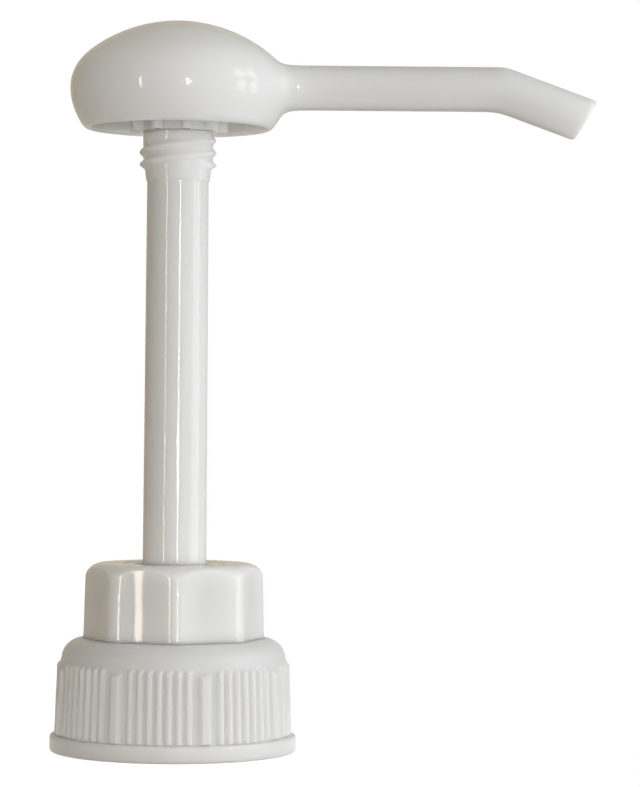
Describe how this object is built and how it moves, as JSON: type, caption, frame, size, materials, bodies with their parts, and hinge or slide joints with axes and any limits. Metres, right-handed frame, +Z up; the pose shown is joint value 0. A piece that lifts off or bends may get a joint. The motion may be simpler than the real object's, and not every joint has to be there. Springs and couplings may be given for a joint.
{
  "type": "plunger dosing pump",
  "caption": "Hand plunger dosing pump with a dome head, long side spout, hollow stem, octagon collar, ribbed canister screw cap, barrel, ball valves, return spring and suction pipe.",
  "frame": {"origin": "centre of the screw cap's lower rim, on the axis of the canister's neck", "axes": "+Z up along the stem, +X along the spout"},
  "size_m": [0.1354, 0.0614, 0.3957],
  "materials": {
    "gloss_white": "glossy ivory white moulding",
    "cap_plastic": "satin natural white moulding",
    "natural_plastic": "milky natural moulding",
    "piston_plastic": "waxy natural moulding",
    "seal_rubber": "soft grey seal",
    "spring_steel": "drawn wire",
    "ball_steel": "polished ball"
  },
  "bodies": {
    "base": {"screw_cap": "cap_plastic", "cap_liner": "seal_rubber", "octagon_collar": "gloss_white", "collar_gasket": "seal_rubber", "barrel": "natural_plastic", "stem_guide": "gloss_white", "stem_wiper": "seal_rubber", "inlet_cage": "natural_plastic", "suction_pipe": "natural_plastic", "return_spring": "spring_steel"},
    "piston_seal": {"piston": "piston_plastic"},
    "plunger": {"stem": "gloss_white", "dome_head": "gloss_white", "piston_carrier": "piston_plastic", "discharge_stop": "natural_plastic"},
    "lower_ball": {"inlet_ball": "ball_steel"},
    "upper_ball": {"discharge_ball": "ball_steel"}
  },
  "joints": [
    {"name": "plunger_stroke", "type": "slide", "parent": "base", "child": "piston_seal", "axis": [0, 0, -1], "range_m": [0, 0.095], "stiffness_N_per_m": 560, "springref_m": -0.012, "deforming": ["return_spring"]},
    {"name": "head_swivel", "type": "hinge", "parent": "piston_seal", "child": "plunger", "pos_m": [0, 0, 0.0265], "axis": [0, 0, 1], "continuous": true},
    {"name": "discharge_lift", "type": "slide", "parent": "plunger", "child": "upper_ball", "axis": [0, 0, 1], "range_m": [0, 0.003]},
    {"name": "inlet_lift", "type": "slide", "parent": "base", "child": "lower_ball", "axis": [0, 0, 1], "range_m": [0, 0.003]}
  ]
}
